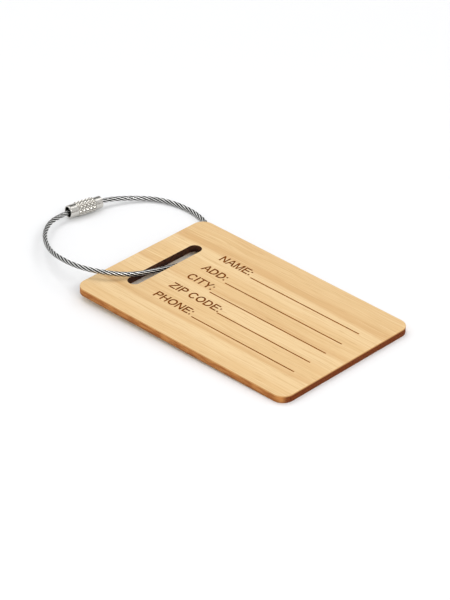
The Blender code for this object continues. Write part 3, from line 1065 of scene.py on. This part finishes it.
def make_ferrule_metal(name, colours, roughness, spread):
    """Metal with faint turning marks along Z and a mottled polish."""
    g = Graph(name)
    turned = g.noise(g.place(TURNING_MARKS), detail=2.0)
    cloud = g.noise(g.place(POLISH_CLOUD), detail=3.0)
    g.set(
        Base_Color=g.mix(g.between(cloud, 0.35, 0.7), *colours),
        Roughness=g.between(turned, 0.3, 0.7, roughness, roughness + spread),
        Metallic=1.0,
    )
    g.bump(turned, TURNING_DEPTH, 0.5)
    return g.material


def make_scorched():
    """The thin brown halo that the engraving's heat leaves round each stroke."""
    g = Graph("bamboo_scorched")
    colour, fibres = bamboo_colour(g)
    heat = g.noise(g.place((1.1, 1.6, 1.6)), detail=2.0)
    brown = g.mix(g.between(heat, 0.35, 0.65), *SCORCHED_BROWNS)
    g.set(Base_Color=g.mix(0.85, colour, brown), Roughness=g.between(fibres, 0.3, 0.7, 0.6, 0.75))
    g.dull(0.15)
    return g.material


def make_rope_steel():
    """Steel with bright crests on the strands and fine wires, and painted shade in the grooves
    between them.
    """
    g = Graph("rope_steel")
    crest = g.add("Attribute", attribute_name="crest").outputs["Fac"]
    phase = g.add("Attribute", attribute_name="fine_wires").outputs["Fac"]
    wires = g.math("ABSOLUTE", g.math("SINE", g.math("MULTIPLY", phase, math.pi)))
    cloud = g.noise(g.place((0.9, 0.9, 0.9)), detail=2.0)
    steel = g.mix(g.between(cloud, 0.35, 0.7), *ROPE_STEEL)
    # Painted shade where the fine wires meet
    steel = g.mix(g.between(wires, 0.0, 0.3, 0.35, 0.0), steel, PAINTED_SHADE_BETWEEN_WIRES)
    # Painted shade on the strands' inner sides, in the grooves of the rope
    g.set(
        Base_Color=g.mix(g.between(crest, 0.93, 0.99), PAINTED_GROOVE_SHADE, steel),
        Roughness=g.between(cloud, 0.3, 0.7, 0.24, 0.34),
        Metallic=1.0,
    )
    g.bump(wires, 0.012 * MM, 0.6)
    return g.material


for material in (
    make_face(),
    make_side(),
    make_slot(),
    make_burnt("bamboo_engraved", *BURNT_LETTERS),
    make_scorched(),
    make_burnt("bamboo_lined", *BURNT_LINES),
):
    card.data.materials.append(material)
rope.data.materials.append(make_rope_steel())
barrel.data.materials.append(make_barrel_nickel())
thread_ferrule.data.materials.append(make_ferrule_metal("ferrule_brass", BRASS, 0.28, 0.12))
stop_ferrule.data.materials.append(make_ferrule_metal("ferrule_steel", DULL_STEEL, 0.34, 0.14))


# ---------------------------------------------------------------- what stands for what
for piece, body, node, slot_name in (
    (card, "card", "bamboo_card", "bamboo"),
    (rope, "loop", "wire_loop", "steel_rope"),
    (barrel, "barrel", "screw_barrel", "bright_steel"),
    (thread_ferrule, "loop", "threaded_ferrule", "brass"),
    (stop_ferrule, "stop", "stop_ferrule", "dull_steel"),
):
    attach(piece, body)
    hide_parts(node)


# ---------------------------------------------------------------- floor and light
def build_floor():
    side = FLOOR_HALF_SIDE
    corners = [(-side, -side, 0.0), (side, -side, 0.0), (side, side, 0.0), (-side, side, 0.0)]
    floor = mesh_object("floor", corners, [(0, 1, 2, 3)])
    floor.location.z = -FLOOR_DROP
    g = Graph("floor_white")
    cloud = g.noise(g.place((0.002, 0.002, 0.002)), detail=2.0)
    g.set(Base_Color=g.mix(cloud, *FLOOR_WHITES), Roughness=0.9)
    g.dull(0.1)
    floor.data.materials.append(g.material)


def build_world():
    """An even white dome with one dark flag and one bright strip for the metal to mirror."""
    world = bpy.data.worlds.new("studio")
    bpy.context.scene.world = world
    world.use_nodes = True
    tree = world.node_tree
    background = tree.nodes["Background"]
    coordinates = tree.nodes.new("ShaderNodeTexCoord")
    level = None
    for direction, edge, middle, value in (DARK_FLAG, BRIGHT_STRIP):
        facing = tree.nodes.new("ShaderNodeVectorMath")
        facing.operation = "DOT_PRODUCT"
        facing.inputs[1].default_value = Vector(direction).normalized()
        tree.links.new(coordinates.outputs["Generated"], facing.inputs[0])
        patch = tree.nodes.new("ShaderNodeMapRange")
        patch.interpolation_type = "SMOOTHSTEP"
        patch.inputs["From Min"].default_value = edge
        patch.inputs["From Max"].default_value = middle
        patch.inputs["To Min"].default_value = DOME_LEVEL if level is None else 0.0
        patch.inputs["To Max"].default_value = value if level is None else value - DOME_LEVEL
        tree.links.new(facing.outputs["Value"], patch.inputs["Value"])
        if level is None:
            level = patch.outputs["Result"]
        else:
            total = tree.nodes.new("ShaderNodeMath")
            tree.links.new(level, total.inputs[0])
            tree.links.new(patch.outputs["Result"], total.inputs[1])
            level = total.outputs[0]
    tree.links.new(level, background.inputs["Strength"])
    background.inputs["Color"].default_value = DOME_COLOUR


def soft_light(name, direction, size, watts):
    """A rectangle of light that faces the object."""
    light = bpy.data.lights.new(name, "AREA")
    light.shape = "RECTANGLE"
    light.size, light.size_y = size
    light.energy = watts
    obj = link(bpy.data.objects.new(name, light))
    obj.location = Vector(direction).normalized() * LIGHT_DISTANCE
    obj.rotation_euler = (-Vector(direction)).to_track_quat("-Z", "Y").to_euler()


build_floor()
build_world()
for light_settings in LIGHTS:
    soft_light(*light_settings)
bpy.context.scene.view_settings.view_transform = "Standard"
bpy.context.scene.view_settings.look = "None"
